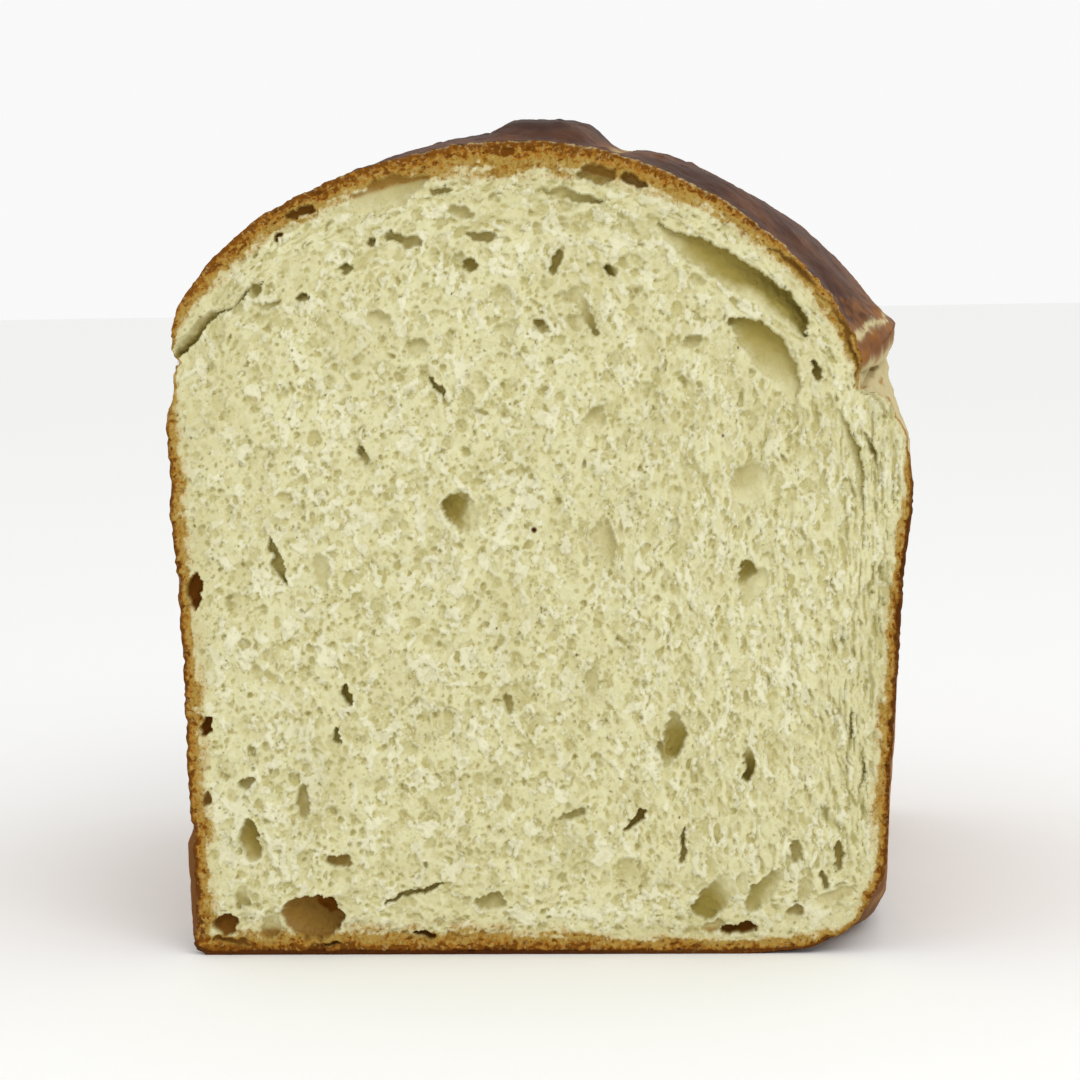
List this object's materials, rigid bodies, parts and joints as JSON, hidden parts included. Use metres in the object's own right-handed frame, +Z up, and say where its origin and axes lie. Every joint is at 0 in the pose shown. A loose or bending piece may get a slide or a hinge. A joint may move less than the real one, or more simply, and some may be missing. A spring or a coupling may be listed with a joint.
{
  "type": "tin loaf",
  "caption": "Cut half of a crusty tin loaf: domed dark crown over tin-baked sides, open crumb on the flat cut face.",
  "frame": {"origin": "middle of the flat base", "axes": "+Z up; the cut face looks along -Y; the baked heel is at +Y"},
  "size_m": [0.116, 0.14, 0.1316],
  "materials": {
    "crust": "baked crust, satin on the crown and matt on the sides; pale open crumb on the cut face"
  },
  "bodies": {
    "root": {"loaf": "crust"}
  },
  "joints": []
}
